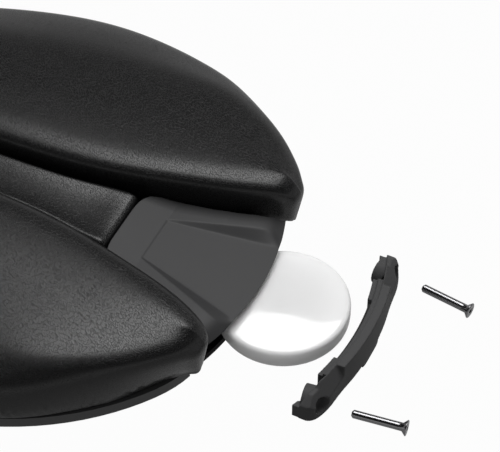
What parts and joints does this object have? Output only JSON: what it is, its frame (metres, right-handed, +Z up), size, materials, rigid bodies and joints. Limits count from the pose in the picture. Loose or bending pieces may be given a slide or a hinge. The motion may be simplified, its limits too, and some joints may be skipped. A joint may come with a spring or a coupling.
{
  "type": "bicycle saddle with tracker bay",
  "caption": "Bicycle saddle with padded cushions, centre strip, steel rails and a tail bay for a coin-shaped tracking tag, closed by a screwed rear cap.",
  "frame": {"origin": "midway between the two rails, at the middle of their straight clamp zone and the height of their axes", "axes": "+X towards the nose, +Y to the rider's left, +Z up through the cushions"},
  "size_m": [0.3173, 0.1292, 0.058],
  "materials": {
    "leatherette": "soft satin with a fine grain",
    "foam": "matt foam",
    "shell_plastic": "fine moulded texture",
    "housing_plastic": "smooth satin",
    "cap_plastic": "smooth satin",
    "seal_rubber": "matt",
    "rail_steel": "black satin coat",
    "black_steel": "black oxide",
    "insert_brass": "machined",
    "screw_chrome": "bright dark chrome",
    "tag_white": "polished white",
    "tag_steel": "polished",
    "cell_steel": "plain",
    "board_green": "solder mask",
    "sounder_brass": "plain"
  },
  "bodies": {
    "saddle": {"base_shell": "shell_plastic", "pocket_tray": "shell_plastic", "rear_housing": "housing_plastic", "bay_pad": "foam", "centre_strip": "leatherette", "cover_left": "leatherette", "cover_right": "leatherette", "foam_left": "foam", "foam_right": "foam", "rail_left": "rail_steel", "rail_right": "rail_steel", "rear_socket_left": "shell_plastic", "rear_socket_right": "shell_plastic", "front_socket": "shell_plastic", "socket_screws": "black_steel", "tray_screws": "black_steel", "front_socket_screw": "black_steel", "brass_insert_left": "insert_brass", "brass_insert_right": "insert_brass"},
    "cap": {"rear_cap": "cap_plastic", "cap_seal": "seal_rubber"},
    "tag": {"tag_shell": "tag_white", "tag_battery_cover": "tag_steel", "tag_battery": "cell_steel", "tag_board": "board_green", "tag_sounder": "sounder_brass"},
    "left_screw": {"cap_screw_left": "screw_chrome"},
    "right_screw": {"cap_screw_right": "screw_chrome"}
  },
  "joints": [
    {"name": "cap_slide", "type": "slide", "parent": "saddle", "child": "cap", "axis": [1, 0, 0], "range_m": [0, 0.0262]},
    {"name": "tag_slide", "type": "slide", "parent": "saddle", "child": "tag", "axis": [1, 0, 0], "range_m": [0, 0.0267]},
    {"name": "left_screw_slide", "type": "slide", "parent": "cap", "child": "left_screw", "axis": [0.9914, 0.1305, 0], "range_m": [0, 0.0208]},
    {"name": "right_screw_slide", "type": "slide", "parent": "cap", "child": "right_screw", "axis": [0.9914, -0.1305, 0], "range_m": [0, 0.0208]}
  ],
  "couplings": [
    {"joint": "tag_slide", "follows": "cap_slide", "ratio": 1.019}
  ]
}
